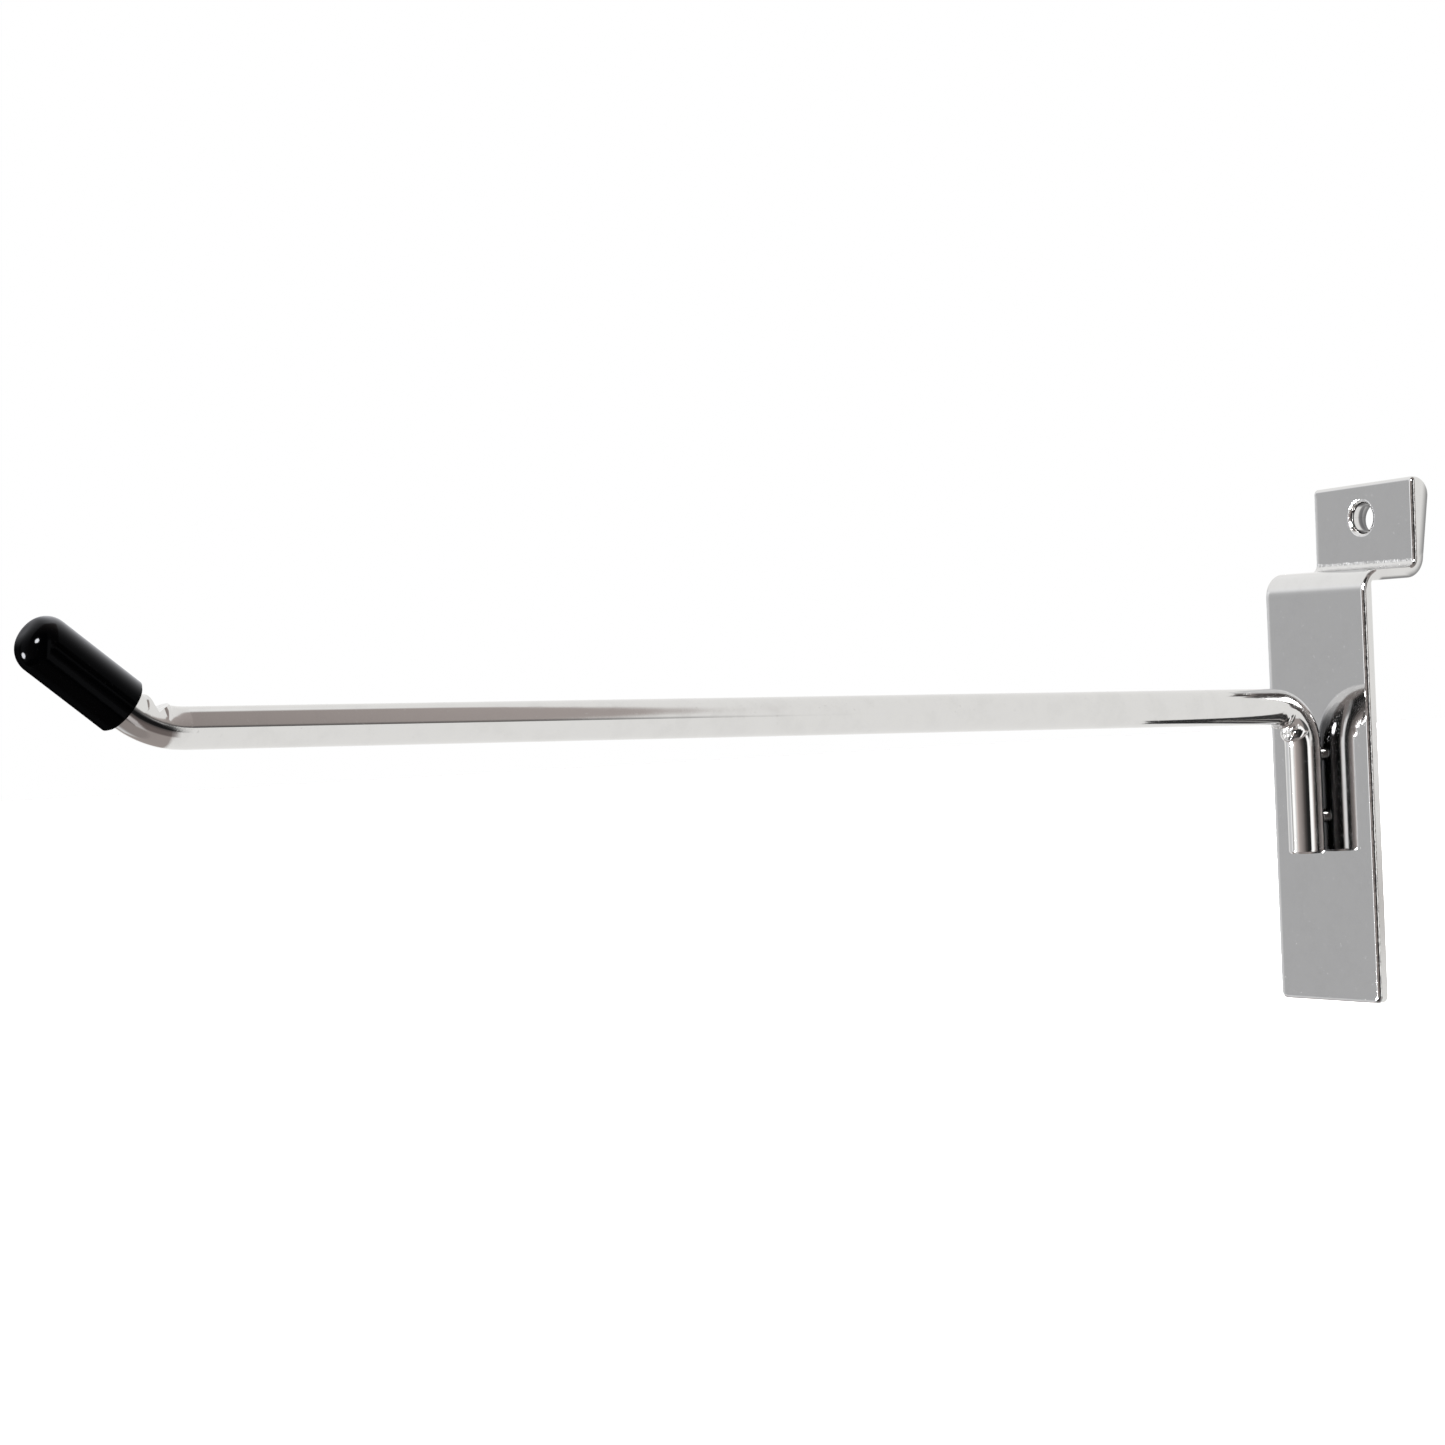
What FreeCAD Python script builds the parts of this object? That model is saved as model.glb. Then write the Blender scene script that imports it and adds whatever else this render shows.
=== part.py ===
import FreeCAD, Part
import math
import os
import Sketcher

# Slatwall hook: a formed back plate, a bent round arm welded to its front,
# and a soft cap pushed on the arm's tip. Millimetres and degrees.
# X runs across the plate, Y goes into the wall, Z is up. The origin is the
# centre of the plate's flat rear face, where the hook bears on the panel.

DIMENSIONS = {
    # back plate: plate, shelf and a tongue that thickens upwards
    "plate_width": 25.4,
    "plate_thickness": 2.45,
    "plate_drop": 36.2,
    "foot_corner": 1.3,
    "front_edge_round": 0.7,
    "rear_edge_round": 0.85,
    "shelf_height": 40.05,
    "shelf_rise": 2.0,
    "shelf_thickness": 2.1,
    "front_fold": 4.1,
    "rear_fold": 3.9,
    "root_fold": 1.4,
    "knee_fold": 0.6,
    "lip_gap": 10.25,
    "tongue_root": 2.4,
    "tongue_rise": 15.8,
    "tongue_lean": 0.5,
    "tongue_flare": 8.3,
    "tongue_skew": 2.2,
    "tongue_crown": 3.2,
    "hole_radius": 2.65,
    "hole_round": 0.8,
    "hole_drop": 6.2,
    "hole_offset": -0.4,
    # arm: one bent round rod
    "rod_diameter": 6.35,
    "leg_bottom": -9.6,
    "arm_height": 16.35,
    "arm_rise": 1.455,
    "arm_reach": 228.25,
    "back_bend": 7.25,
    "front_bend": 16.0,
    "tip_rise": 37.7,
    "tip_straight": 17.5,
    "rod_chamfer": 0.35,
    # tool marks on the insides of the bends
    "front_nick_depth": 1.8,
    "front_nick_width": 3.2,
    "front_nick_lead": 0.65,
    "front_ridge_rise": 0.3,
    "back_nick_depth": 0.7,
    "back_nick_width": 1.3,
    "back_ridge_rise": 0.45,
    "ridge_offset": 1.4,
    "ridge_radius": 1.5,
    "ridge_sink": 0.1,
    # welds between plate and leg
    "weld_gap": 0.8,
    "weld_radius": 1.3,
    "weld_lap": 0.1,
    "weld_upper": 7.9,
    "weld_lower": -3.2,
    # end cap
    "cap_cover": 17.4,
    "cap_wall": 1.22,
    "cap_floor": 1.35,
    "cap_dome": 3.6,
    "cap_lip": 0.4,
}

# lengths and angles that several features share, as sheet expressions
ROD_RADIUS = "dims.rod_diameter / 2"
LEG_DEPTH = f"(dims.plate_thickness + dims.weld_gap + {ROD_RADIUS})"
ARM_PITCH = "dims.arm_rise * 1 deg"
TIP_PITCH = "dims.tip_rise * 1 deg"
FRONT_HALF_TURN = f"({TIP_PITCH} - {ARM_PITCH}) / 2"
BACK_HALF_TURN = f"(90 deg - {ARM_PITCH}) / 2"
BACK_CORNER_Z = (
    f"(dims.arm_height + (dims.weld_gap + {ROD_RADIUS}) * tan({ARM_PITCH}))"
)
FRONT_CORNER_Y = "(-dims.plate_thickness - dims.arm_reach)"
FRONT_CORNER_Z = f"(dims.arm_height + dims.arm_reach * tan({ARM_PITCH}))"
CAP_START = (
    f"(dims.front_bend * tan({FRONT_HALF_TURN})"
    " + dims.tip_straight - dims.cap_cover)"
)
CAP_RADIUS = f"{ROD_RADIUS} + dims.cap_wall"

# the back plate's side profile, as sheet expressions
SHELF_SLOPE = "tan(dims.shelf_rise * 1 deg)"
FRONT_SLOPE = "tan(dims.tongue_lean * 1 deg)"
REAR_SLOPE = "tan((dims.tongue_lean + dims.tongue_flare) * 1 deg)"
TONGUE_TOP = "(dims.shelf_height + dims.tongue_rise)"
SKEW_RISE = "dims.plate_width * tan(dims.tongue_skew * 1 deg)"
BLANK_TOP = f"({TONGUE_TOP} + {SKEW_RISE})"
ROOT_Z = f"(dims.shelf_height + (dims.plate_thickness + dims.lip_gap) * {SHELF_SLOPE})"
UNDER_Z = (
    f"(dims.shelf_height + dims.plate_thickness * {SHELF_SLOPE}"
    " - dims.shelf_thickness / cos(dims.shelf_rise * 1 deg))"
)
HEEL_Y = (
    f"((dims.lip_gap + dims.tongue_root + ({UNDER_Z} - {ROOT_Z}) * {REAR_SLOPE})"
    f" / (1 - {SHELF_SLOPE} * {REAR_SLOPE}))"
)


def add_sheet(doc):
    sheet = doc.addObject("Spreadsheet::Sheet", "dims")
    for row, (alias, value) in enumerate(DIMENSIONS.items(), start=1):
        sheet.set(f"A{row}", alias)
        sheet.set(f"B{row}", str(value))
        sheet.setAlias(f"B{row}", alias)
    doc.recompute()
    return sheet


def add_body(doc, label):
    body = doc.addObject("PartDesign::Body", label)
    body.Label = label
    return body


def add_sketch(body, name, role):
    plane = next(item for item in body.Origin.OriginFeatures if item.Role == role)
    sketch = body.newObject("Sketcher::SketchObject", name)
    sketch.AttachmentSupport = [(plane, "")]
    sketch.MapMode = "FlatFace"
    return sketch


def bind(item, **expressions):
    for path, expression in expressions.items():
        item.setExpression(path.replace("__", "."), expression)


def constrain(sketch, kind, *geometry, name=None, expression=None):
    index = sketch.addConstraint(Sketcher.Constraint(kind, *geometry))
    if name:
        sketch.renameConstraint(index, name)
        sketch.setExpression(f"Constraints.{name}", expression)


def line(start, end):
    return Part.LineSegment(
        FreeCAD.Vector(*start, 0),
        FreeCAD.Vector(*end, 0),
    )


def arc(centre, radius, first, last):
    circle = Part.Circle(FreeCAD.Vector(*centre, 0), FreeCAD.Vector(0, 0, 1), radius)
    return Part.ArcOfCircle(circle, math.radians(first), math.radians(last))


def polygon(sketch, points):
    """Adds a closed outline and returns the number of its first side."""
    first = sketch.GeometryCount
    count = len(points)
    for index, point in enumerate(points):
        sketch.addGeometry(line(point, points[(index + 1) % count]))
    for index in range(count):
        after = first + (index + 1) % count
        constrain(sketch, "Coincident", first + index, 2, after, 1)
    return first


def place_point(sketch, geometry, end, name, across, up):
    """Ties one point of a sketch to its origin with two bound distances."""
    drawn = sketch.getPoint(geometry, end)
    constrain(
        sketch, "DistanceX", -1, 1, geometry, end, drawn.x,
        name=f"{name}_across", expression=across,
    )
    constrain(
        sketch, "DistanceY", -1, 1, geometry, end, drawn.y,
        name=f"{name}_up", expression=up,
    )


def edges_where(shape, test):
    return [
        f"Edge{index}"
        for index, edge in enumerate(shape.Edges, start=1)
        if test(edge)
    ]


def add_fillet(body, base, name, edges, radius):
    fillet = body.newObject("PartDesign::Fillet", name)
    fillet.Base = (base, edges)
    bind(fillet, Radius=radius)
    return fillet


def add_chamfer(body, base, name, edges, size):
    chamfer = body.newObject("PartDesign::Chamfer", name)
    chamfer.Base = (base, edges)
    bind(chamfer, Size=size)
    return chamfer


def add_cut(body, name, profile, length=None):
    """Cuts equally to both sides of a sketch, right through if no length is given."""
    cut = body.newObject("PartDesign::Pocket", name)
    cut.Profile = profile
    cut.SideType = "Symmetric"
    if length:
        bind(cut, Length=length)
    else:
        cut.Type = "ThroughAll"
    return cut


def sweep(body, name, profile, path):
    pipe = body.newObject("PartDesign::AdditivePipe", name)
    pipe.Profile = profile
    edge_names = [f"Edge{index + 1}" for index in range(len(path.Shape.Edges))]
    pipe.Spine = (path, edge_names)
    return pipe


def join_smoothly(sketch, *ends):
    """Makes each element of a sketch run on from the one before it."""
    for (first, first_end), (second, second_end) in ends:
        constrain(sketch, "Tangent", first, first_end, second, second_end)


def add_side_profile(body):
    """Side profile of plate, shelf and tongue, with sharp corners."""
    profile = add_sketch(body, "SideProfile", "YZ_Plane")
    outline = (
        ("foot_front", (-2, -36), "-dims.plate_thickness", "-dims.plate_drop"),
        ("brow", (-2, 40), "-dims.plate_thickness", "dims.shelf_height"),
        ("root", (10, 40), "dims.lip_gap", ROOT_Z),
        (
            "top_front", (11, 57),
            f"dims.lip_gap + ({BLANK_TOP} - {ROOT_Z}) * {FRONT_SLOPE}", BLANK_TOP,
        ),
        (
            "top_rear", (15, 57),
            f"dims.lip_gap + dims.tongue_root + ({BLANK_TOP} - {ROOT_Z}) * {REAR_SLOPE}",
            BLANK_TOP,
        ),
        ("heel", (12, 38), HEEL_Y, f"{UNDER_Z} + {HEEL_Y} * {SHELF_SLOPE}"),
        ("knee", (0, 38), "0", UNDER_Z),
        ("foot_rear", (0, -36), "0", "-dims.plate_drop"),
    )
    side = polygon(profile, [drawn for _, drawn, _, _ in outline])
    for index, (name, _, across, up) in enumerate(outline):
        place_point(profile, side + index, 1, name, across, up)
    return profile


def corner_edges(shape, profile, *corners):
    """The edges across the plate that stand at these corners of its side profile."""
    points = [profile.getPoint(corner, 1) for corner in corners]
    return edges_where(
        shape,
        lambda edge: any(
            abs(edge.BoundBox.YMin - point.x) + abs(edge.BoundBox.YMax - point.x) < 0.01
            and abs(edge.BoundBox.ZMin - point.y) < 0.01
            for point in points
        ),
    )


def add_top_trim(body):
    """Takes off the metal above the tongue's top edge, which is out of square."""
    trim = add_sketch(body, "TopTrim", "XZ_Plane")
    side = polygon(trim, [(-25, 55), (25, 56.5), (25, 80), (-25, 80)])
    left, right = "-dims.plate_width", "dims.plate_width"
    above = f"{TONGUE_TOP} + dims.plate_width"
    place_point(trim, side, 1, "low_left", left, f"{TONGUE_TOP} - {SKEW_RISE}")
    place_point(trim, side + 1, 1, "low_right", right, f"{TONGUE_TOP} + {SKEW_RISE}")
    place_point(trim, side + 2, 1, "high_right", right, above)
    place_point(trim, side + 3, 1, "high_left", left, above)
    return add_cut(body, "TopCut", trim)


def add_circles(body, name, role, radius, places):
    sketch = add_sketch(body, name, role)
    for index, (across, up) in enumerate(places):
        circle = Part.Circle(
            FreeCAD.Vector(index, 10 * index, 0), FreeCAD.Vector(0, 0, 1), 2,
        )
        sketch.addGeometry(circle)
        constrain(
            sketch, "Radius", index, 2.0,
            name=f"radius_{index}", expression=radius,
        )
        place_point(sketch, index, 3, f"centre_{index}", across, up)
    return sketch


def build_back_plate(doc):
    body = add_body(doc, "back_plate")
    profile = add_side_profile(body)
    doc.recompute()
    blank = body.newObject("PartDesign::Pad", "Blank")
    blank.Profile = profile
    blank.SideType = "Symmetric"
    bind(blank, Length="dims.plate_width")
    add_top_trim(body)
    hole = add_circles(
        body, "HoleCircle", "XZ_Plane", "dims.hole_radius",
        [("dims.hole_offset", f"{TONGUE_TOP} - dims.hole_drop")],
    )
    shaped = add_cut(body, "HoleCut", hole)
    doc.recompute()

    brow, root, heel, knee = 1, 2, 5, 6
    for name, corners, radius in (
        ("BrowRound", (brow,), "dims.front_fold"),
        ("HeelRound", (heel,), "dims.rear_fold"),
        ("RootRound", (root,), "dims.root_fold"),
        ("KneeRound", (knee,), "dims.knee_fold"),
    ):
        edges = corner_edges(shaped.Shape, profile, *corners)
        shaped = add_fillet(body, shaped, name, edges, radius)
        doc.recompute()

    half_width = DIMENSIONS["plate_width"] / 2
    rear_top = max(
        (edge for edge in shaped.Shape.Edges if edge.BoundBox.XLength > half_width),
        key=lambda edge: edge.BoundBox.ZMax + edge.BoundBox.YMax,
    )

    def is_rear_top(edge):
        return edge.isSame(rear_top)

    def is_foot_corner(edge):
        box = edge.BoundBox
        at_side = box.XLength < 0.01 and abs(box.XMax) > half_width - 0.01
        return at_side and box.ZMax < 0.01 - DIMENSIONS["plate_drop"]

    def is_rear_side(edge):
        box = edge.BoundBox
        at_side = box.XLength < 0.01 and abs(box.XMax) > half_width - 0.01
        return at_side and box.ZMin < 0 and abs(box.YMin) + abs(box.YMax) < 0.01

    def is_front_side(edge):
        box = edge.BoundBox
        at_front = box.YMax < 0.01 - DIMENSIONS["plate_thickness"]
        return at_front and box.XLength < 0.01 and box.ZMin < 0

    def is_hole_mouth(edge):
        box = edge.BoundBox
        return (
            edge.isClosed()
            and box.XLength < half_width
            and box.YMax < DIMENSIONS["lip_gap"] + DIMENSIONS["tongue_root"] / 2
        )

    for name, test, radius in (
        ("TongueCrown", is_rear_top, "dims.tongue_crown"),
        ("FootCorners", is_foot_corner, "dims.foot_corner"),
        ("RearEdgeRounds", is_rear_side, "dims.rear_edge_round"),
        ("FrontEdgeRounds", is_front_side, "dims.front_edge_round"),
        ("HoleRound", is_hole_mouth, "dims.hole_round"),
    ):
        shaped = add_fillet(body, shaped, name, edges_where(shaped.Shape, test), radius)
        doc.recompute()

    welds = add_circles(
        body, "WeldCircles", "XZ_Plane", "dims.weld_radius",
        [("0", "dims.weld_lower"), ("0", "dims.weld_upper")],
    )
    bind(welds, AttachmentOffset__Base__z="dims.plate_thickness")
    raised = body.newObject("PartDesign::Pad", "Welds")
    raised.Profile = welds
    sunk = f"({ROD_RADIUS} - sqrt(({ROD_RADIUS}) ^ 2 - dims.weld_radius ^ 2))"
    bind(raised, Length=f"dims.weld_gap + {sunk} + dims.weld_lap")
    seat = add_circles(body, "RodSeat", "XY_Plane", ROD_RADIUS, [("0", f"-{LEG_DEPTH}")])
    add_cut(body, "SeatCut", seat)
    return body


def add_rod_path(body):
    """Middle line of the rod: leg, bend, arm, bend, tip."""
    path = add_sketch(body, "RodPath", "YZ_Plane")
    leg, back_bend, arm, front_bend, tip = range(5)
    path.addGeometry(line((-6, -10), (-6, 9)))
    path.addGeometry(arc((-13, 9), 7, 1, 89))
    path.addGeometry(line((-13, 16), (-222, 20)))
    path.addGeometry(arc((-222, 36), 16, 232, 269))
    path.addGeometry(line((-232, 24), (-245, 34)))
    join_smoothly(
        path,
        ((leg, 2), (back_bend, 1)),
        ((back_bend, 2), (arm, 1)),
        ((arm, 2), (front_bend, 2)),
        ((front_bend, 1), (tip, 1)),
    )
    back_corner, front_corner = (
        path.addGeometry(Part.Point(FreeCAD.Vector(*place, 0)), True)
        for place in ((-6, 16), (-227, 20))
    )
    constrain(path, "Vertical", leg)
    place_point(path, leg, 1, "leg_foot", f"-{LEG_DEPTH}", "dims.leg_bottom")
    constrain(
        path, "Radius", back_bend, 7.0,
        name="back_bend", expression="dims.back_bend",
    )
    constrain(
        path, "Radius", front_bend, 16.0,
        name="front_bend", expression="dims.front_bend",
    )
    place_point(path, back_corner, 1, "back_corner", f"-{LEG_DEPTH}", BACK_CORNER_Z)
    place_point(path, front_corner, 1, "front_corner", FRONT_CORNER_Y, FRONT_CORNER_Z)
    constrain(path, "PointOnObject", back_corner, 1, arm)
    constrain(path, "PointOnObject", front_corner, 1, arm)
    constrain(path, "PointOnObject", front_corner, 1, tip)
    constrain(
        path, "Angle", tip, 2.5,
        name="tip_rise", expression=f"180 deg - {TIP_PITCH}",
    )
    constrain(
        path, "Distance", tip, 17.0,
        name="tip_straight", expression="dims.tip_straight",
    )
    return path


def place_in_bend(item, bend, reach, lead):
    """Sets a sketch reach inwards of the rod's middle line, and lead round the bend's centre."""
    corner_y, corner_z, radius, half_turn, turn = bend
    angle = f"({turn} + {lead})"
    bind(
        item,
        AttachmentOffset__Base__x=(
            f"{corner_y} - {radius} / cos({half_turn}) * sin({turn})"
            f" + ({radius} - {reach}) * sin({angle})"
        ),
        AttachmentOffset__Base__y=(
            f"{corner_z} + {radius} / cos({half_turn}) * cos({turn})"
            f" - ({radius} - {reach}) * cos({angle})"
        ),
        AttachmentOffset__Rotation__Angle=angle,
    )


def add_ridge(body, name, bend, rise, lead):
    """Raises the inside of a bend by turning an off-centre ring about the rod."""
    ring_radius = f"{ROD_RADIUS} - dims.ridge_sink - dims.ridge_radius"
    ring = add_circles(body, name, "YZ_Plane", "dims.ridge_radius", [("0", ring_radius)])
    place_in_bend(ring, bend, f"({rise} + dims.ridge_sink)", lead)
    turned = body.newObject("PartDesign::Revolution", f"{name}Turned")
    turned.Profile = ring
    turned.ReferenceAxis = (ring, ["H_Axis"])
    turned.Angle = 360


def add_tool_mark(body, name, bend, depth, width, rise, lead):
    """V-shaped mark across the inside of a bend, with the metal that it pushed up."""
    inner_radius = f"({bend[2]} - {ROD_RADIUS})"
    for side, away in (("Rear", "+"), ("Fore", "-")):
        offset = f"({lead} {away} dims.ridge_offset) / {inner_radius} * 1 rad"
        add_ridge(body, f"{name}{side}Ridge", bend, rise, offset)
    wedge = add_sketch(body, f"{name}Nick", "YZ_Plane")
    side = polygon(wedge, [(0, 0), (3, 3), (-3, 3)])
    place_point(wedge, side, 1, "point", "0", "0")
    place_point(wedge, side + 1, 1, "right", width, f"2 * {depth}")
    place_point(wedge, side + 2, 1, "left", f"-{width}", f"2 * {depth}")
    angle = f"({lead}) / {inner_radius} * 1 rad"
    place_in_bend(wedge, bend, f"({ROD_RADIUS} - {depth})", angle)
    return add_cut(body, f"{name}Cut", wedge, "dims.rod_diameter")


def build_arm(doc):
    body = add_body(doc, "arm")
    path = add_rod_path(body)
    section = add_circles(body, "RodSection", "XY_Plane", ROD_RADIUS, [("0", f"-{LEG_DEPTH}")])
    bind(section, AttachmentOffset__Base__z="dims.leg_bottom")
    doc.recompute()
    sweep(body, "Rod", section, path)

    back = (
        f"-{LEG_DEPTH}", BACK_CORNER_Z,
        "dims.back_bend", BACK_HALF_TURN, f"(135 deg - {ARM_PITCH} / 2)",
    )
    front = (
        FRONT_CORNER_Y, FRONT_CORNER_Z,
        "dims.front_bend", FRONT_HALF_TURN, f"(0 deg - ({TIP_PITCH} + {ARM_PITCH}) / 2)",
    )
    add_tool_mark(
        body, "Back", back, "dims.back_nick_depth", "dims.back_nick_width",
        "dims.back_ridge_rise", "0",
    )
    nicked = add_tool_mark(
        body, "Front", front, "dims.front_nick_depth", "dims.front_nick_width",
        "dims.front_ridge_rise", "-dims.front_nick_lead",
    )
    doc.recompute()

    radius = DIMENSIONS["rod_diameter"] / 2

    def is_end(edge):
        return (
            edge.isClosed()
            and hasattr(edge.Curve, "Radius")
            and abs(edge.Curve.Radius - radius) < 0.01
            and any(
                face.Surface.TypeId == "Part::GeomPlane"
                for face in nicked.Shape.ancestorsOfType(edge, Part.Face)
            )
        )

    ends = edges_where(nicked.Shape, is_end)
    add_chamfer(body, nicked, "EndChamfers", ends, "dims.rod_chamfer")
    return body


def build_cap(doc):
    """Soft cap, turned about the tip's axis, its mouth at the cap's own origin."""
    body = add_body(doc, "end_cap")
    section = add_sketch(body, "CapSection", "YZ_Plane")
    bore, outer = 3, 4
    side = polygon(
        section,
        [(0, 17), (bore, 17), (bore, 0), (outer, 0), (outer, 18.5), (0, 18.5)],
    )
    length = "dims.cap_cover + dims.cap_floor"
    place_point(section, side, 1, "bore_top", "0", "dims.cap_cover")
    place_point(section, side + 1, 1, "bore_corner", ROD_RADIUS, "dims.cap_cover")
    place_point(section, side + 2, 1, "bore_mouth", ROD_RADIUS, "0")
    place_point(section, side + 3, 1, "mouth", CAP_RADIUS, "0")
    place_point(section, side + 4, 1, "end_rim", CAP_RADIUS, length)
    place_point(section, side + 5, 1, "end", "0", length)
    turned = body.newObject("PartDesign::Revolution", "CapTurned")
    turned.Profile = section
    turned.ReferenceAxis = (section, ["V_Axis"])
    turned.Angle = 360
    doc.recompute()

    outer_radius = DIMENSIONS["rod_diameter"] / 2 + DIMENSIONS["cap_wall"]

    def is_rim(edge, at_mouth):
        box = edge.BoundBox
        return box.XLength > 2 * outer_radius - 0.01 and (box.ZMax < 0.01) == at_mouth

    end_rim = edges_where(turned.Shape, lambda edge: is_rim(edge, False))
    domed = add_fillet(body, turned, "CapDome", end_rim, "dims.cap_dome")
    doc.recompute()
    mouth_rim = edges_where(domed.Shape, lambda edge: is_rim(edge, True))
    add_chamfer(body, domed, "CapLip", mouth_rim, "dims.cap_lip")

    body.Placement = FreeCAD.Placement(
        FreeCAD.Vector(0, -230, 24),
        FreeCAD.Rotation(FreeCAD.Vector(1, 0, 0), 52),
    )
    bind(
        body,
        Placement__Base__y=f"{FRONT_CORNER_Y} - {CAP_START} * cos({TIP_PITCH})",
        Placement__Base__z=f"{FRONT_CORNER_Z} + {CAP_START} * sin({TIP_PITCH})",
        Placement__Rotation__Angle=f"90 deg - {TIP_PITCH}",
    )
    return body


def check(doc, pieces):
    for item in doc.Objects:
        if "Invalid" in item.State or "Error" in item.State:
            raise RuntimeError(f"{item.Name} did not build: {item.State}")
    for piece in pieces:
        if piece.Shape.isNull() or not piece.Shape.isValid():
            raise RuntimeError(f"{piece.Label} is not a valid solid")
        if len(piece.Shape.Solids) != 1:
            raise RuntimeError(f"{piece.Label} is not one solid")


def main():
    doc = FreeCAD.newDocument("slatwall_hook")
    add_sheet(doc)
    pieces = [build_back_plate(doc), build_arm(doc), build_cap(doc)]
    doc.recompute()
    check(doc, pieces)
    os.makedirs("parts", exist_ok=True)
    for piece in pieces:
        piece.Shape.exportStep(f"parts/{piece.Label}.step")
        print(piece.Label, round(piece.Shape.Volume, 2), piece.Shape.BoundBox)


main()
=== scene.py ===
import math
import bpy
from mathutils import Matrix, Vector

# A chromed slatwall hook with a black vinyl end cap, seen from its right and in front.
# The scene is in metres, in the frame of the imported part. Marks on the hook are given in millimetres.
# A pair of limits holds the values at which a soft change starts and at which it is complete.
# A relief is a pair too: its strength, and its depth in millimetres.

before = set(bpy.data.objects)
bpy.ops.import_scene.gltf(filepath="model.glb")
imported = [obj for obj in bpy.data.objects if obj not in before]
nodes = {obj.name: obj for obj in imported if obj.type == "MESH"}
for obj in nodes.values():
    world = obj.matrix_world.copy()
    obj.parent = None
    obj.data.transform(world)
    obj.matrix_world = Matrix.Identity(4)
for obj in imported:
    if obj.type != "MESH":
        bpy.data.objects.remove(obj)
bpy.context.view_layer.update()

MM = 0.001
# A noise of scale 1 has lumps about this many metres across.
NOISE_LUMP = 0.5

SENSOR_WIDTH = 36.0
LENS = 95.971
CAMERA_PLACE = (0.505123, -0.476886, 0.026273)
CAMERA_HEADING = 55.5824
CAMERA_PITCH = -0.69597
CAMERA_ROLL = 2.46715

FLOOR_HEIGHT = -0.36
FLOOR_HALF_WIDTH = 14.0
FLOOR_COLOUR = (0.95, 0.95, 0.95)
FLOOR_ROUGHNESS = 0.9

# Colours of the metal and of the vinyl.
CHROME_BRIGHT = (0.70, 0.695, 0.685)
CHROME_FLAT = (0.695, 0.695, 0.70)
CHROME_DULL = (0.392, 0.3885, 0.385)
CHROME_SPECK = (0.56, 0.555, 0.55)
# The next four colours are painted light on the metal: shade, deeper shade, a broken dark line of shade
# along edges, and a brown reflection.
CHROME_SHADE = (0.10, 0.10, 0.105)
CHROME_DEEP_SHADE = (0.06, 0.06, 0.063)
CHROME_EDGE_SHADE = (0.22, 0.22, 0.225)
CHROME_BROWN_REFLECTION = (0.30, 0.28, 0.275)
VINYL_COLOUR = (0.00003, 0.00003, 0.00005)
VINYL_SHADE = (0.00010, 0.00010, 0.00014)
VINYL_DUST = (0.008, 0.008, 0.008)
VINYL_GLOSS = (0.94, 0.95, 1.0)

# The room round the hook at eye level: compass direction in degrees, brightness and tint.
WHITE = (1.0, 1.0, 1.0)
WARM = (1.12, 1.0, 0.96)
COOL = (0.98, 0.99, 1.02)
RING_SCALE = 2.0
RING = (
    (-180.0, 0.78, WHITE),
    (-166.0, 0.74, COOL),
    (-154.0, 0.88, COOL),
    (-146.0, 1.30, WHITE),
    (-141.5, 0.54, WHITE),
    (-133.5, 0.54, WHITE),
    (-130.0, 1.45, WHITE),
    (-114.0, 1.45, WHITE),
    (-108.0, 0.95, WHITE),
    (-99.0, 0.74, WARM),
    (-89.0, 0.46, WARM),
    (-70.0, 0.30, WARM),
    (-58.0, 0.19, WARM),
    (-48.0, 0.08, WARM),
    (-32.0, 0.02, WHITE),
    (-15.0, 0.02, WHITE),
    (-11.0, 1.40, WHITE),
    (3.0, 1.40, WHITE),
    (12.0, 0.50, WARM),
    (20.0, 0.14, WARM),
    (24.0, 0.10, WARM),
    (30.0, 0.30, WARM),
    (100.0, 0.40, WARM),
    (110.0, 1.00, WHITE),
    (180.0, 0.80, WHITE),
)

# Brightness and tint of the room's other areas.
HIGH_RING = 0.25
POLE_GREY = 0.30
LOW_SHADE = 0.06
CEILING_NEAR = 0.29
CEILING_FAR = 0.42
CEILING_LEFT = 1.05
WALL = (1.0, 0.995, 0.985)
GROUND_BROWN = 0.37
GAP_SHADOW = 0.10
BACKDROP_LEVEL = 1.0
FILL_LEVEL = 1.06

# Limits of those areas, in the parts of a direction of length 1.
WALLWARD_Y = (-0.02, 0.06)
LEFTWARD_X = (0.02, -0.20)
HIGH_RING_Z = (0.30, 0.50)
TOP_POLE_Z = (0.75, 0.92)
BOTTOM_POLE_Z = (-0.75, -0.92)
LOW_SHADE_Z = (-0.50, -0.66)
LOW_SHADE_Y = (-0.34, -0.52)
CEILING_FAR_Y = (0.40, 0.56)
CEILING_WALLWARD_Z = (0.06, 0.10)
CEILING_LEFTWARD_Z = (0.10, 0.50)
CEILING_SLOPE_X = -0.1185
CEILING_SLOPE_Z = -0.1412
CEILING_END = (0.412, 0.432)
WALL_ABOVE_Z = (-0.08, -0.04)
WALL_BELOW_Z = (-0.05, -0.09)
GROUND_Z = (-0.34, -0.46)
GROUND_SLOPE = -0.19
GROUND_END = (0.455, 0.425)
GAP_NEAR_Y = (0.44, 0.39)
GAP_HEIGHTS = (0.13, -0.29)
GAP_OUTER_HALVES = (0.10, 0.17)
GAP_INNER_HALVES = (0.03, 0.09)
GAP_FAINT_Y = (0.44, 0.49)
GAP_FAINT = 0.75
GAP_END_Y = (0.60, 0.55)
GAP_X = (0.78, 0.84)

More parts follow.
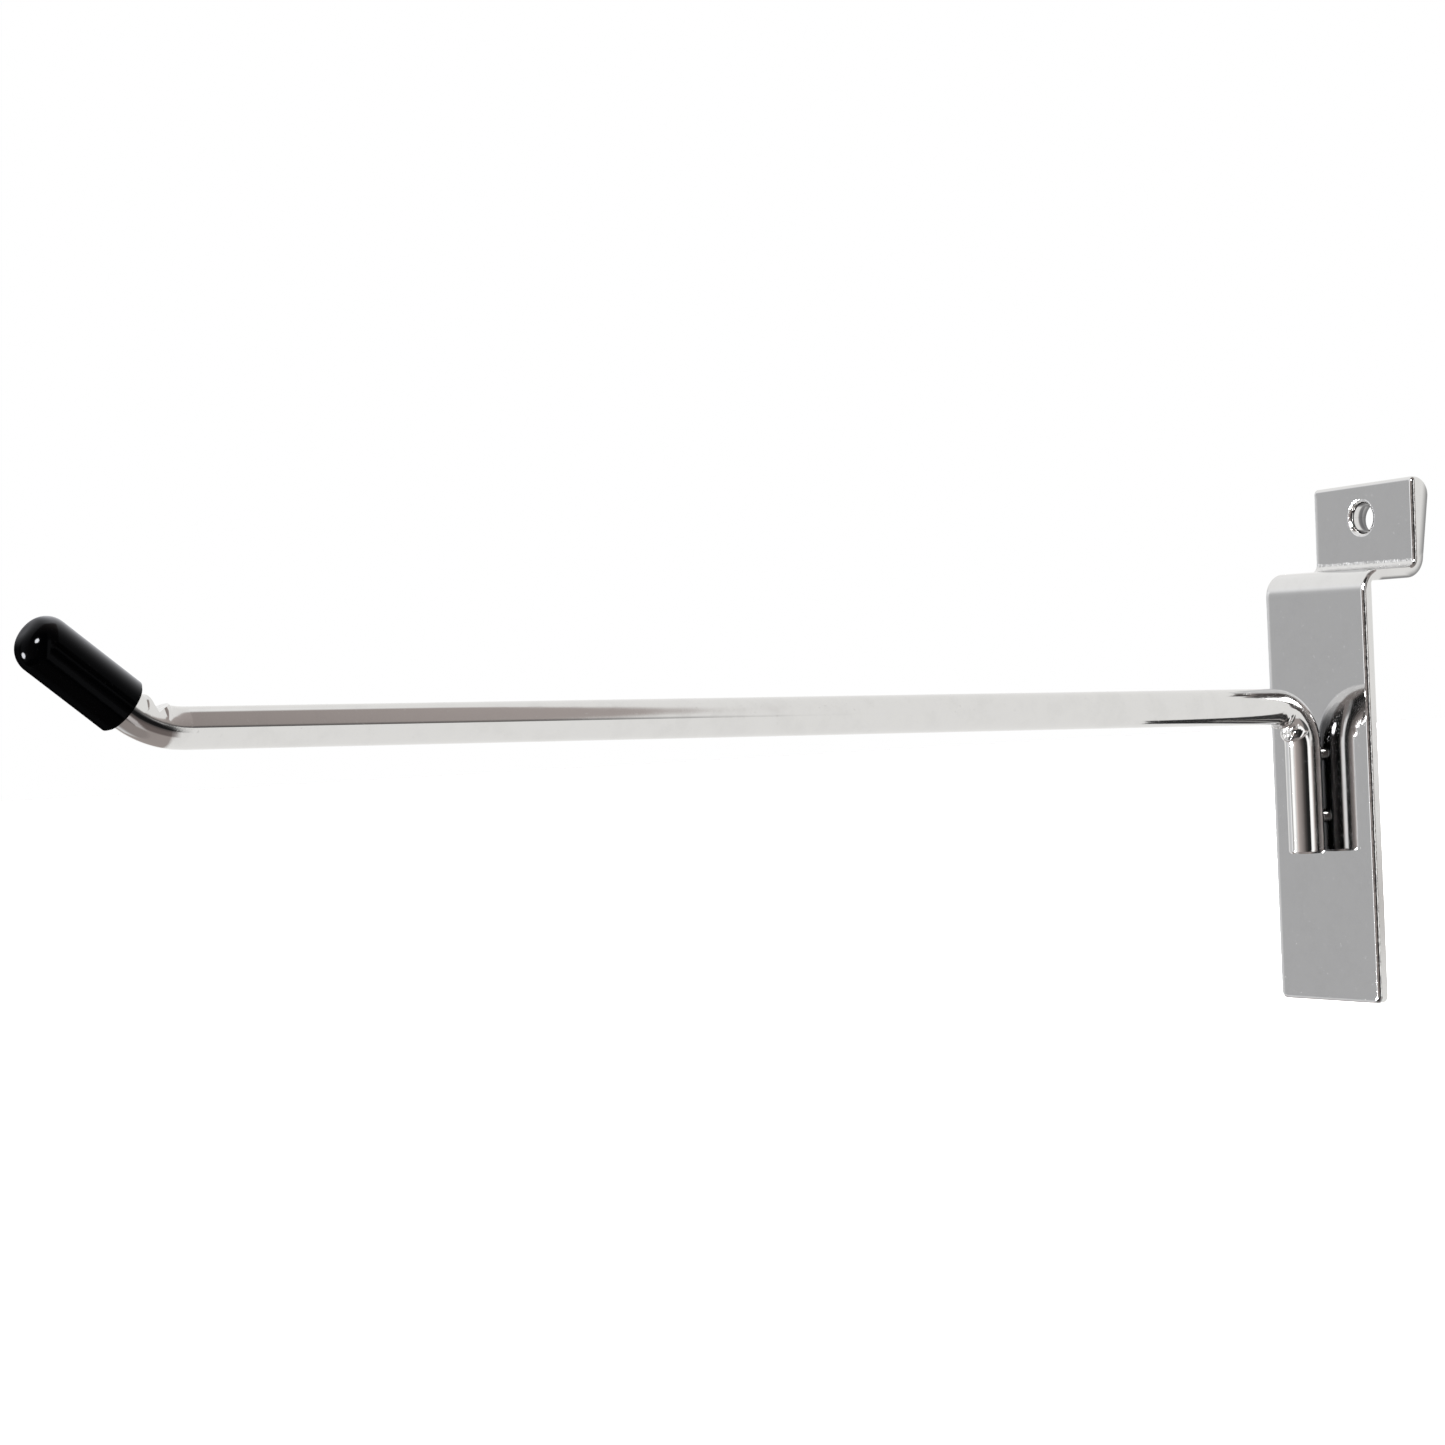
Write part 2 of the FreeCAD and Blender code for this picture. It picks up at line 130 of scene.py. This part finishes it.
# Two small lamps: compass direction, height and half width, all in degrees.
LAMP_LEVEL = 300.0
LAMP_BLUR = (1.2, 0.8)
LAMPS = (
    (-62.0, 26.0, 8.0),
    (-121.0, -16.0, 9.0),
)

# Chrome all over: the sizes of its lumps, its relief, and how much the lumps change its colour and gloss.
GRAIN_SIZE = 0.12
GRAIN_RELIEF = (0.05, 0.02)
WAVE_SIZE = 5.0
WAVE_RELIEF = (0.25, 0.05)
ROUNDING_RELIEF = (1.0, 0.05)
CRUMPLE_SIZE = 0.7
CRUMPLE_DEPTH = 0.45
PATCH_SIZE = 2.2
PATCH_LEVELS = (0.42, 0.72)
SPECK_SIZE = 0.35
SPECK_LEVELS = (0.66, 0.74)
CHIP_AND_SHADE_PATCH_SIZE = 0.55
CHIP_AND_SHADE_PATCH_LEVELS = (0.50, 0.60)
FLAT_FACING = (0.90, 0.99)
PATCH_TINT = 0.08
SPECK_TINT = 0.10
CHROME_ROUGHNESS = 0.06
PATCH_ROUGHNESS = 0.03
SPECK_ROUGHNESS = 0.10

# Marks on the back plate.
TONGUE_SKEW = 0.0384
TONGUE_FLARE = 0.1548
SHELF_SLOPE = 0.035
FRONT_FACING = (-0.90, -0.99)
SIDE_RIM = (11.2, 12.7)
SIDE_RIM_END = (6.0, -6.0)
TOP_RIM = (54.0, 55.9)
HOLE_X = -0.4
HOLE_Z = 49.65
HOLE_WALL = (2.80, 2.68)
HOLE_SURROUND = (3.6, 4.0)
EDGE_ACROSS = (0.15, 0.45)
EDGE_OUT = (-0.08, -0.35)
EDGE_TINT = 0.5
TONGUE_BACK = (4.3, 6.1)
TONGUE_FOOT = (41.0, 43.0)
HEEL_Y = 8.7
HEEL_Z = 42.3
HEEL_RING = (2.6, 3.9)
HEEL_TOP = (43.0, 42.0)
HEEL_FRONT = (7.5, 9.5)
SHELF_UNDER = (38.75, 38.2)
SHELF_FRONT = (1.5, 2.5)
BACK_ACROSS = (0.15, 0.30)
SHADE_TINT = 0.85
HOLE_BACK_START = (12.0, 12.5)
HOLE_BACK_END = (13.4, 13.0)
HOLE_SHADE_UP = (0.72, 0.86)
FOLD_BOTTOM = (40.4, 40.7)
FOLD_TOP = (42.0, 41.6)
FOLD_FRONT = (8.6, 9.2)
FOLD_REAR = (10.5, 10.4)
EDGE_CRUMPLE = 0.25
HOLE_CRUMPLE = 0.10
FOLD_CRUMPLE = 0.5

# Marks on the arm. A crumpled spot has a place, an inner and an outer radius and a strength.
TIP_START = (-227.2, -228.6)
TIP_OUT = (-0.015, -0.05)
TIP_BROWN_TOP = (0.02, -0.10)
TIP_BROWN_BOTTOM = (-0.52, -0.44)
TIP_SHADE_TOP = (0.16, 0.05)
TIP_SHADE_BOTTOM = (-0.36, -0.14)
TIP_SHADE_TINT = 0.95
LEG_BACK_OUT = (0.42, 0.60)
LEG_BACK_TOP = (17.0, 13.0)
LEG_BACK_TINT = 0.9
FOOT_END = (-8.9, -9.3)
FOOT_CRUMPLE = 0.8
CRUMPLED_SPOTS = (
    ((0.8, -11.0, 12.6), 1.6, 2.7, 1.0),
    ((0.5, -229.4, 25.9), 1.6, 2.8, 0.4),
)

# Vinyl: the sizes of its lumps, its relief, its gloss and the painted sheen towards its upper edge.
CLOUD_SIZE = 2.5
CLOUD_RELIEF = (0.20, 0.10)
PORE_SIZE = 0.22
PORE_RELIEF = (0.12, 0.03)
DUST_SIZE = 0.30
DUST_LEVELS = (0.72, 0.78)
DUST_TINT = 0.06
VINYL_ROUGHNESS = 0.5
GLOSS_ROUGHNESS = 0.05
CLOUD_ROUGHNESS = 0.05
GLOSS_LEVEL = 0.0026
SHEEN_LEVEL = 0.80
SHEEN_POWER = 2.6
SHEEN_UP = (0.05, 0.85)
DOME_OUT = (-0.50, 0.0)
DOME_SHEEN = 0.35


def scaled(tint, level=1.0):
    return tuple(channel * level for channel in tint) + (1.0,)


class Tree:
    """Builds a node tree from short calls."""

    def __init__(self, tree):
        self.tree = tree
        tree.nodes.clear()

    def add(self, kind, settings=None, **inputs):
        node = self.tree.nodes.new(kind)
        for name, value in (settings or {}).items():
            setattr(node, name, value)
        for name, value in inputs.items():
            self.put(node.inputs[name.replace("_", " ")], value)
        return node

    def put(self, socket, value):
        if isinstance(value, bpy.types.NodeSocket):
            self.tree.links.new(value, socket)
        else:
            socket.default_value = value

    def put_all(self, sockets, values):
        for socket, value in zip(sockets, values):
            self.put(socket, value)

    def math(self, operation, *values):
        node = self.add("ShaderNodeMath", {"operation": operation})
        self.put_all(node.inputs, values)
        return node.outputs[0]

    def vector_math(self, operation, *values):
        """A vector node that gives a number."""
        node = self.add("ShaderNodeVectorMath", {"operation": operation})
        self.put_all(node.inputs, values)
        return node.outputs["Value"]

    def all_of(self, *factors):
        """The product of several factors: 1 only where all of them are."""
        result = factors[0]
        for factor in factors[1:]:
            result = self.math("MULTIPLY", result, factor)
        return result

    def any_of(self, *factors):
        """The largest of several factors."""
        result = factors[0]
        for factor in factors[1:]:
            result = self.math("MAXIMUM", result, factor)
        return result

    def without(self, factor):
        return self.math("SUBTRACT", 1.0, factor)

    def blend(self, factor, a, b):
        """a where factor is 0 and b where it is 1, for plain numbers."""
        node = self.add("ShaderNodeMix", {"data_type": "FLOAT"})
        self.put_all((node.inputs[0], node.inputs[2], node.inputs[3]), (factor, a, b))
        return node.outputs[0]

    def tint(self, factor, a, b, mode="MIX"):
        """a where factor is 0 and b where it is 1, for colours."""
        node = self.add("ShaderNodeMix", {"data_type": "RGBA", "blend_type": mode})
        self.put_all((node.inputs[0], node.inputs[6], node.inputs[7]), (factor, a, b))
        return node.outputs[2]

    def mix_shaders(self, factor, a, b):
        node = self.add("ShaderNodeMixShader")
        self.put_all(node.inputs, (factor, a, b))
        return node.outputs[0]

    def step(self, value, limits):
        """0 up to the first limit and 1 from the second, with a soft change between them."""
        node = self.add("ShaderNodeMapRange", {"interpolation_type": "SMOOTHSTEP"}, Value=value)
        self.put_all((node.inputs["From Min"], node.inputs["From Max"]), limits)
        return node.outputs[0]

    def step_mm(self, value, limits):
        """A step whose limits are in millimetres."""
        return self.step(value, [limit * MM for limit in limits])

    def noise(self, where, size, detail=2.0, roughness=0.5):
        """A noise whose lumps are about size millimetres across."""
        node = self.add("ShaderNodeTexNoise", Vector=where, Detail=detail, Roughness=roughness)
        self.put(node.inputs["Scale"], NOISE_LUMP / (size * MM))
        return node.outputs[0]

    def bump(self, relief, height, base=None):
        """A relief that follows height, laid over the relief of base."""
        strength, depth = relief
        node = self.add("ShaderNodeBump", Strength=strength, Distance=depth * MM, Height=height)
        if base is not None:
            self.put(node.inputs["Normal"], base)
        return node.outputs[0]

    def split(self, vector):
        node = self.add("ShaderNodeSeparateXYZ")
        self.put(node.inputs[0], vector)
        return node.outputs[0], node.outputs[1], node.outputs[2]

    def distance_in_plane(self, a, b, place):
        """How far the two coordinates a and b are from a place, given in millimetres."""
        off = [self.math("SUBTRACT", value, centre * MM) for value, centre in zip((a, b), place)]
        flat = self.add("ShaderNodeCombineXYZ", X=off[0], Y=off[1])
        return self.vector_math("LENGTH", flat.outputs[0])

    def near_point(self, where, point, inner, outer):
        """1 within inner of a point and 0 beyond outer, all in millimetres."""
        distance = self.vector_math("DISTANCE", where, tuple(value * MM for value in point))
        return self.step_mm(distance, (outer, inner))


def ring_colour(t, x, y):
    """The ring of surroundings at eye level. A full turn from -180 to 180 degrees runs from 0 to 1 in it."""
    turn = t.math("ARCTAN2", y, x)
    ring = t.add("ShaderNodeValToRGB", Fac=t.math("MULTIPLY_ADD", turn, 0.5 / math.pi, 0.5))
    elements = ring.color_ramp.elements
    while len(elements) < len(RING):
        elements.new(1.0)
    for element, (degrees, level, tint) in zip(elements, RING):
        element.position = (degrees + 180.0) / 360.0
        element.color = scaled(tint, level / RING_SCALE)
    return t.tint(1.0, ring.outputs[0], scaled(WHITE, RING_SCALE), "MULTIPLY")


def gap_factor(t, x, y, z, wallward):
    """A thin dark gap between ceiling and ground, which drops away towards the camera."""
    near = t.step(y, GAP_NEAR_Y)
    off = t.math("ABSOLUTE", t.math("SUBTRACT", z, t.blend(near, *GAP_HEIGHTS)))
    limits = [t.blend(near, *halves) for halves in (GAP_OUTER_HALVES, GAP_INNER_HALVES)]
    faint = t.blend(t.step(y, GAP_FAINT_Y), 1.0, GAP_FAINT)
    return t.all_of(t.step(off, limits), t.step(y, GAP_END_Y), faint, t.step(x, GAP_X), wallward)


def add_lamps(t, direction, room):
    for heading, height, half_angle in LAMPS:
        a, b = math.radians(heading), math.radians(height)
        towards = (math.cos(b) * math.cos(a), math.cos(b) * math.sin(a), math.sin(b))
        facing = t.vector_math("DOT_PRODUCT", direction, towards)
        inside = t.step(facing, [math.cos(math.radians(half_angle) * blur) for blur in LAMP_BLUR])
        room = t.tint(inside, room, scaled(WHITE, LAMP_LEVEL))
    return room


def room_colour(t, direction):
    """Soft studio surroundings by direction: ring, ceiling, wall, ground, gap and lamps."""
    x, y, z = t.split(direction)
    wallward = t.step(y, WALLWARD_Y)
    leftward = t.step(x, LEFTWARD_X)

    # Away from the wall the ring runs up and down. It is grey overhead and underfoot.
    room = ring_colour(t, x, y)
    room = t.tint(t.step(z, HIGH_RING_Z), room, scaled(WHITE, HIGH_RING), "MULTIPLY")
    for pole in (TOP_POLE_Z, BOTTOM_POLE_Z):
        room = t.tint(t.step(z, pole), room, scaled(WARM, POLE_GREY))
    low = t.all_of(t.step(z, LOW_SHADE_Z), t.step(y, LOW_SHADE_Y))
    room = t.tint(low, room, scaled(WHITE, LOW_SHADE))

    brown = t.tint(t.step(y, CEILING_FAR_Y), scaled(WARM, CEILING_NEAR), scaled(WARM, CEILING_FAR))
    ceiling = t.tint(leftward, brown, scaled(WHITE, CEILING_LEFT))
    above = t.any_of(
        t.all_of(t.step(z, CEILING_WALLWARD_Z), wallward),
        t.all_of(t.step(z, CEILING_LEFTWARD_Z), leftward),
    )
    room = t.tint(above, room, ceiling)

    # The ceiling ends in a straight edge that leans towards the wall.
    edge = t.math("MULTIPLY_ADD", x, CEILING_SLOPE_X, y)
    edge = t.math("MULTIPLY_ADD", z, CEILING_SLOPE_Z, edge)
    wall_above = t.all_of(t.step(edge, CEILING_END), t.step(z, WALL_ABOVE_Z))
    room = t.tint(wall_above, room, scaled(WALL))

    # Below eye level the wall side is white, with brown ground steeply below.
    border = t.math("MULTIPLY_ADD", z, GROUND_SLOPE, y)
    steep = t.all_of(t.step(z, GROUND_Z), t.step(border, GROUND_END))
    ground = t.tint(steep, scaled(WALL), scaled(WARM, GROUND_BROWN))
    room = t.tint(t.all_of(t.step(z, WALL_BELOW_Z), wallward), room, ground)

    gap = gap_factor(t, x, y, z, wallward)
    room = t.tint(gap, room, scaled(WHITE, GAP_SHADOW))
    return add_lamps(t, direction, room)


def build_room():
    """The studio as the metal sees it, with a plain white backdrop and an even fill for dull things."""
    world = bpy.data.worlds.new("studio")
    bpy.context.scene.world = world
    world.use_nodes = True
    t = Tree(world.node_tree)
    direction = t.add("ShaderNodeTexCoord").outputs["Generated"]
    room = t.add("ShaderNodeBackground", Color=room_colour(t, direction), Strength=1.0)
    rays = t.add("ShaderNodeLightPath").outputs
    surroundings = room.outputs[0]
    for kind, level in (("Is Diffuse Ray", FILL_LEVEL), ("Is Camera Ray", BACKDROP_LEVEL)):
        plain = t.add("ShaderNodeBackground", Color=scaled(WHITE), Strength=level)
        surroundings = t.mix_shaders(rays[kind], surroundings, plain.outputs[0])
    output = t.add("ShaderNodeOutputWorld")
    t.put(output.inputs[0], surroundings)


def new_material(name):
    material = bpy.data.materials.new(name)
    material.use_nodes = True
    t = Tree(material.node_tree)
    shader = t.add("ShaderNodeBsdfPrincipled")
    output = t.add("ShaderNodeOutputMaterial")
    t.put(output.inputs[0], shader.outputs[0])
    return material, t, shader, output


def surface(t):
    """Where a point of the hook is, and which way its face points."""
    coordinates = t.add("ShaderNodeTexCoord").outputs
    return coordinates["Object"], coordinates["Normal"]


# Patches for the foot's real chips in relief, and for the breaks in the painted shade along the plate's
# edges.
def chips_and_shade_patches(t, where):
    return t.step(t.noise(where, CHIP_AND_SHADE_PATCH_SIZE, detail=3.0, roughness=0.6), CHIP_AND_SHADE_PATCH_LEVELS)


def plate_marks(t, where, facing, colour):
    """The plate's colour, how crumpled each spot is, and the height of its softly rounded front faces."""
    x, y, z = t.split(where)
    across, out, up = t.split(facing)
    sideways = t.math("ABSOLUTE", across)

    # The front faces round off gently towards their left and top edges.
    side_rim = t.all_of(t.step_mm(t.math("ABSOLUTE", x), SIDE_RIM), t.step_mm(x, SIDE_RIM_END))
    top_rim = t.step_mm(t.math("MULTIPLY_ADD", x, -TONGUE_SKEW, z), TOP_RIM)
    swell = t.all_of(t.without(side_rim), t.without(top_rim), t.step(out, FRONT_FACING))

    # In front, away from the hole, the rounded side edges carry a broken dark line of painted shade.
    from_hole = t.distance_in_plane(x, z, (HOLE_X, HOLE_Z))
    edge = t.all_of(t.step(sideways, EDGE_ACROSS), t.step(out, EDGE_OUT))
    edge = t.all_of(edge, t.step_mm(from_hole, HOLE_SURROUND))
    colour = t.tint(t.all_of(edge, chips_and_shade_patches(t, where), EDGE_TINT), colour, scaled(CHROME_EDGE_SHADE))

    # The back edges of the tongue, the heel and the shelf's underside are in shade.
    behind = t.step_mm(t.math("MULTIPLY_ADD", z, -TONGUE_FLARE, y), TONGUE_BACK)
    tongue = t.all_of(behind, t.step_mm(z, TONGUE_FOOT))
    from_heel = t.distance_in_plane(y, z, (HEEL_Y, HEEL_Z))
    heel = t.all_of(t.step_mm(from_heel, HEEL_RING), t.step_mm(z, HEEL_TOP), t.step_mm(y, HEEL_FRONT))
    below = t.step_mm(t.math("MULTIPLY_ADD", y, -SHELF_SLOPE, z), SHELF_UNDER)
    shelf = t.all_of(below, t.step_mm(y, SHELF_FRONT))
    back = t.all_of(t.any_of(tongue, heel, shelf), t.step(sideways, BACK_ACROSS))
    colour = t.tint(t.all_of(back, SHADE_TINT), colour, scaled(CHROME_SHADE))

    # Painted shade darkens the hole's wall near its back, where the wall is also torn, and at its top and
    # bottom.
    hole = t.step_mm(from_hole, HOLE_WALL)
    torn_and_shaded = t.all_of(t.step_mm(y, HOLE_BACK_START), t.step_mm(y, HOLE_BACK_END))
    torn_and_shaded = t.any_of(torn_and_shaded, t.step(t.math("ABSOLUTE", up), HOLE_SHADE_UP))
    colour = t.tint(t.all_of(hole, torn_and_shaded, SHADE_TINT), colour, scaled(CHROME_SHADE))

    # The metal is uneven in the inner fold between shelf and tongue.
    level = t.all_of(t.step_mm(z, FOLD_BOTTOM), t.step_mm(z, FOLD_TOP))
    fold = t.all_of(level, t.step_mm(y, FOLD_FRONT), t.step_mm(y, FOLD_REAR))
    crumple = t.any_of(
        t.all_of(edge, EDGE_CRUMPLE),
        t.all_of(hole, HOLE_CRUMPLE),
        t.all_of(fold, FOLD_CRUMPLE),
    )
    return colour, crumple, swell


def arm_marks(t, where, facing, colour):
    """The rod's colour and how crumpled each spot is. It has no softly rounded flat faces."""
    _, y, z = t.split(where)
    _, out, up = t.split(facing)

    # The front of the raised tip carries a painted reflection: brown below and dark along its middle.
    tip = t.all_of(t.step_mm(y, TIP_START), t.step(out, TIP_OUT))
    brown_reflection = t.all_of(tip, t.step(up, TIP_BROWN_TOP), t.step(up, TIP_BROWN_BOTTOM))
    colour = t.tint(brown_reflection, colour, scaled(CHROME_BROWN_REFLECTION))
    shade = t.all_of(tip, t.step(up, TIP_SHADE_TOP), t.step(up, TIP_SHADE_BOTTOM), TIP_SHADE_TINT)
    colour = t.tint(shade, colour, scaled(CHROME_DEEP_SHADE))

    # The leg's back, which the plate mirrors, is in shade.
    hidden = t.all_of(t.step(out, LEG_BACK_OUT), t.step_mm(z, LEG_BACK_TOP), LEG_BACK_TINT)
    colour = t.tint(hidden, colour, scaled(CHROME_DEEP_SHADE))

    # The foot's end is chipped, and the insides of both bends are crumpled.
    crumple = t.all_of(t.step_mm(z, FOOT_END), chips_and_shade_patches(t, where), FOOT_CRUMPLE)
    for point, inner, outer, strength in CRUMPLED_SPOTS:
        crumple = t.any_of(crumple, t.all_of(t.near_point(where, point, inner, outer), strength))
    return colour, crumple, 0.0


def chrome(name, flat_colour, marks):
    """Bright plated steel with fine grain, soft waves and a few duller specks. Flat faces take flat_colour.
    """
    material, t, shader, _ = new_material(name)
    where, facing = surface(t)
    patches = t.step(t.noise(where, PATCH_SIZE, detail=4.0, roughness=0.6), PATCH_LEVELS)
    specks = t.step(t.noise(where, SPECK_SIZE), SPECK_LEVELS)
    _, out, _ = t.split(facing)
    flat = t.step(t.math("ABSOLUTE", out), FLAT_FACING)
    colour = t.tint(flat, scaled(CHROME_BRIGHT), scaled(flat_colour))
    colour = t.tint(t.all_of(patches, PATCH_TINT), colour, scaled(CHROME_DULL))
    colour = t.tint(t.all_of(specks, SPECK_TINT), colour, scaled(CHROME_SPECK))
    colour, crumple, swell = marks(t, where, facing, colour)
    t.put(shader.inputs["Base Color"], colour)
    shader.inputs["Metallic"].default_value = 1.0
    rough = t.math("MULTIPLY_ADD", patches, PATCH_ROUGHNESS, CHROME_ROUGHNESS)
    rough = t.math("MULTIPLY_ADD", specks, SPECK_ROUGHNESS, rough)
    t.put(shader.inputs["Roughness"], rough)
    grain = t.bump(GRAIN_RELIEF, t.noise(where, GRAIN_SIZE, detail=3.0))
    waves = t.bump(WAVE_RELIEF, t.noise(where, WAVE_SIZE, detail=1.0), grain)
    rounded = t.bump(ROUNDING_RELIEF, swell, waves)
    crumpled = t.bump((crumple, CRUMPLE_DEPTH), t.noise(where, CRUMPLE_SIZE, roughness=0.6), rounded)
    t.put(shader.inputs["Normal"], crumpled)
    return material


def vinyl(name):
    """Black moulded vinyl: deep black with a faint gloss, and a painted sheen towards its upper edge."""
    material, t, shader, output = new_material(name)
    where, facing = surface(t)
    cloud = t.noise(where, CLOUD_SIZE, detail=3.0, roughness=0.6)
    dust = t.step(t.noise(where, DUST_SIZE, detail=1.0), DUST_LEVELS)
    colour = t.tint(cloud, scaled(VINYL_COLOUR), scaled(VINYL_SHADE))
    colour = t.tint(t.all_of(dust, DUST_TINT), colour, scaled(VINYL_DUST))
    t.put(shader.inputs["Base Color"], colour)
    shader.inputs["Roughness"].default_value = VINYL_ROUGHNESS
    shader.inputs["Specular IOR Level"].default_value = 0.0
    pores = t.bump(PORE_RELIEF, t.noise(where, PORE_SIZE))
    relief = t.bump(CLOUD_RELIEF, cloud, pores)
    t.put(shader.inputs["Normal"], relief)
    gloss = t.add("ShaderNodeBsdfGlossy", Color=scaled(VINYL_GLOSS), Normal=relief)
    t.put(gloss.inputs["Roughness"], t.math("MULTIPLY_ADD", cloud, CLOUD_ROUGHNESS, GLOSS_ROUGHNESS))

    # Painted sheen: the glossy layer shows strongly only at grazing angles on faces that point upward, and
    # less on the dome.
    grazing = t.add("ShaderNodeLayerWeight").outputs["Facing"]
    _, out, up = t.split(facing)
    dome = t.blend(t.step(out, DOME_OUT), DOME_SHEEN, 1.0)
    sheen = t.all_of(t.math("POWER", grazing, SHEEN_POWER), t.step(up, SHEEN_UP), dome)
    strength = t.math("MULTIPLY_ADD", sheen, SHEEN_LEVEL, GLOSS_LEVEL)
    t.put(output.inputs[0], t.mix_shaders(strength, shader.outputs[0], gloss.outputs[0]))
    return material


def build_floor():
    half = FLOOR_HALF_WIDTH
    corners = [(a * half, b * half, FLOOR_HEIGHT) for a, b in ((-1, -1), (1, -1), (1, 1), (-1, 1))]
    mesh = bpy.data.meshes.new("floor")
    mesh.from_pydata(corners, [], [(0, 1, 2, 3)])
    floor = bpy.data.objects.new("floor", mesh)
    bpy.context.scene.collection.objects.link(floor)
    material, _, shader, _ = new_material("pale_floor")
    shader.inputs["Base Color"].default_value = scaled(FLOOR_COLOUR)
    shader.inputs["Roughness"].default_value = FLOOR_ROUGHNESS
    shader.inputs["Specular IOR Level"].default_value = 0.0
    mesh.materials.append(material)
    floor.visible_glossy = False


def build_camera():
    data = bpy.data.cameras.new("camera")
    data.sensor_fit = "HORIZONTAL"
    data.sensor_width = SENSOR_WIDTH
    data.lens = LENS
    heading, pitch, roll = (math.radians(v) for v in (CAMERA_HEADING, CAMERA_PITCH, CAMERA_ROLL))
    level_x, level_y = math.cos(heading), math.sin(heading)
    forward = Vector((-level_y * math.cos(pitch), level_x * math.cos(pitch), math.sin(pitch)))
    level = Vector((level_x, level_y, 0.0))
    upright = level.cross(forward)
    side = math.cos(roll) * level - math.sin(roll) * upright
    top = math.sin(roll) * level + math.cos(roll) * upright
    turn = Matrix((side, top, -forward)).transposed()
    camera = bpy.data.objects.new("camera", data)
    camera.matrix_world = Matrix.Translation(CAMERA_PLACE) @ turn.to_4x4()
    bpy.context.scene.collection.objects.link(camera)
    bpy.context.scene.camera = camera


build_room()
build_floor()
build_camera()
bpy.context.scene.view_settings.view_transform = "Standard"
part_materials = {
    "back_plate": chrome("plate_chrome_with_painted_shade", CHROME_FLAT, plate_marks),
    "arm": chrome("arm_chrome_with_painted_shade_and_reflection", CHROME_BRIGHT, arm_marks),
    "end_cap": vinyl("cap_vinyl_with_painted_sheen"),
}
for name, material in part_materials.items():
    for slot in nodes[name].material_slots:
        slot.material = material
